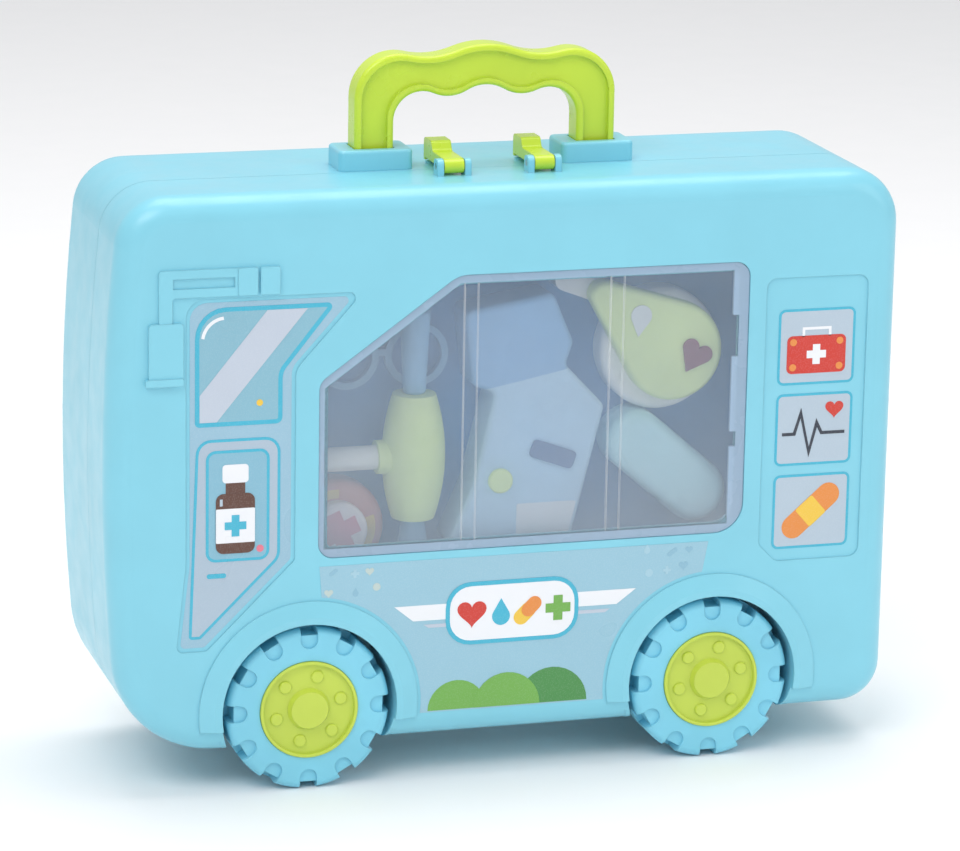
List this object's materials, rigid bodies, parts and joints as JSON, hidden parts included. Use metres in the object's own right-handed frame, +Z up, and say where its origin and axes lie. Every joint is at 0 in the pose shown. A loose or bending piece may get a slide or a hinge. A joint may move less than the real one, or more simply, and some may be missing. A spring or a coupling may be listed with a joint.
{
  "type": "toy trolley case",
  "caption": "Bus-shaped toy doctor's case in two hinged halves, with wheels, roof latches, a pull-out handle and a clear window over toy instruments.",
  "frame": {"origin": "middle of the bounding box, on the floor under the wheels", "axes": "+X from the nose to the tail, -Y the window side, +Z up"},
  "size_m": [0.376, 0.118, 0.335],
  "materials": {
    "aqua_shell": "glossy moulded plastic",
    "blue_wheel": "moulded plastic",
    "lime_plastic": "glossy moulded plastic",
    "steel": "bright steel",
    "clear_plastic": "frosted clear plastic",
    "tray_plastic": "matt plastic",
    "green_toy": "moulded plastic",
    "white_toy": "moulded plastic",
    "grey_toy": "moulded plastic",
    "blue_toy": "moulded plastic",
    "dark_display": "glossy plastic",
    "red_toy": "moulded plastic",
    "orange_toy": "moulded plastic",
    "pink_toy": "moulded plastic"
  },
  "bodies": {
    "rear_half": {"rear_shell": "aqua_shell", "handle_guide_left": "aqua_shell", "handle_guide_right": "aqua_shell", "hinge_pin": "steel", "axle_pin_rear_left": "steel", "axle_pin_rear_right": "steel"},
    "front_half": {"front_shell": "aqua_shell", "window_panel": "clear_plastic", "toy_tray": "tray_plastic", "tray_screws": "steel", "axle_pin_front_left": "steel", "axle_pin_front_right": "steel", "latch_pin_left": "steel", "latch_pin_right": "steel", "hammer_handle": "white_toy", "hammer_head": "green_toy", "hammer_tips": "grey_toy", "medicine_box": "orange_toy", "medicine_disc": "pink_toy", "pill_case": "blue_toy", "stethoscope_cover": "green_toy", "stethoscope_disc": "white_toy", "stethoscope_heart": "red_toy", "stethoscope_stub": "white_toy", "thermometer_body": "blue_toy", "thermometer_button": "green_toy", "thermometer_display": "dark_display", "toy_glasses": "grey_toy"},
    "handle": {"pull_handle": "lime_plastic", "handle_stop_left": "lime_plastic", "handle_stop_right": "lime_plastic"},
    "left_latch": {"latch_left": "lime_plastic"},
    "right_latch": {"latch_right": "lime_plastic"},
    "front_left_wheel": {"tyre_front_left": "blue_wheel", "hub_cap_front_left": "lime_plastic"},
    "front_right_wheel": {"tyre_front_right": "blue_wheel", "hub_cap_front_right": "lime_plastic"},
    "rear_left_wheel": {"tyre_rear_left": "blue_wheel", "hub_cap_rear_left": "lime_plastic"},
    "rear_right_wheel": {"tyre_rear_right": "blue_wheel", "hub_cap_rear_right": "lime_plastic"}
  },
  "joints": [
    {"name": "case_open", "type": "hinge", "parent": "rear_half", "child": "front_half", "pos_m": [0, -0.013, 0.0154], "axis": [1, 0, 0], "range_deg": [0, 120]},
    {"name": "handle_slide", "type": "slide", "parent": "rear_half", "child": "handle", "axis": [0, 0, 1], "range_m": [0, 0.178]},
    {"name": "left_latch_turn", "type": "hinge", "parent": "front_half", "child": "left_latch", "pos_m": [-0.0215, -0.027, 0.2832], "axis": [1, 0, 0], "range_deg": [0, 110]},
    {"name": "right_latch_turn", "type": "hinge", "parent": "front_half", "child": "right_latch", "pos_m": [0.0215, -0.027, 0.2832], "axis": [1, 0, 0], "range_deg": [0, 110]},
    {"name": "front_left_wheel_spin", "type": "hinge", "parent": "front_half", "child": "front_left_wheel", "pos_m": [-0.0945, -0.04535, 0.0385], "axis": [0, 1, 0], "continuous": true},
    {"name": "front_right_wheel_spin", "type": "hinge", "parent": "front_half", "child": "front_right_wheel", "pos_m": [0.1, -0.04535, 0.0385], "axis": [0, 1, 0], "continuous": true},
    {"name": "rear_left_wheel_spin", "type": "hinge", "parent": "rear_half", "child": "rear_left_wheel", "pos_m": [-0.0945, 0.04535, 0.0385], "axis": [0, 1, 0], "continuous": true},
    {"name": "rear_right_wheel_spin", "type": "hinge", "parent": "rear_half", "child": "rear_right_wheel", "pos_m": [0.1, 0.04535, 0.0385], "axis": [0, 1, 0], "continuous": true}
  ]
}
